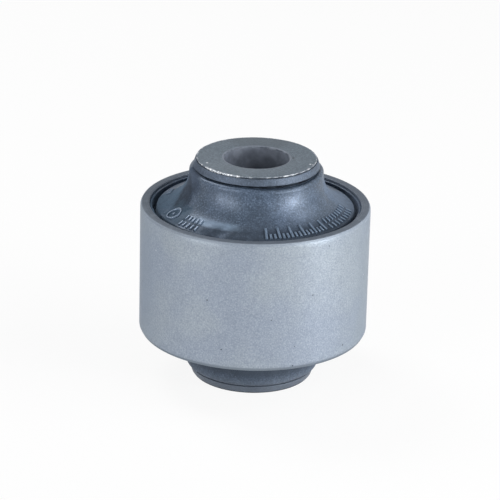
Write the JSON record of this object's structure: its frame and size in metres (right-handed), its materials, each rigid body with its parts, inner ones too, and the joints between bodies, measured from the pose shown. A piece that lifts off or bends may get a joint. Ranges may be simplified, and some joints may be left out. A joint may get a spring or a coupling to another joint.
{
  "type": "rubber metal bush",
  "caption": "Bonded rubber bush: a thick inner steel sleeve with a bolt bore, a rubber body that flares into a flange, and a thin outer press-fit steel sleeve.",
  "frame": {"origin": "on the axis of the bolt bore, half way along the bush", "axes": "+Z along the bolt bore towards the upper end, where the outer sleeve has its shorter lead-in chamfer; +X to the right in the picture"},
  "size_m": [0.05, 0.05, 0.05],
  "materials": {
    "outer_steel": "blasted and phosphated, matt light grey",
    "moulded_rubber": "moulded, dusty blue grey sheen",
    "inner_steel": "phosphated, dull grey, with a bare burred edge"
  },
  "bodies": {
    "root": {"outer_sleeve": "outer_steel", "rubber_body": "moulded_rubber", "inner_sleeve": "inner_steel"}
  },
  "joints": []
}
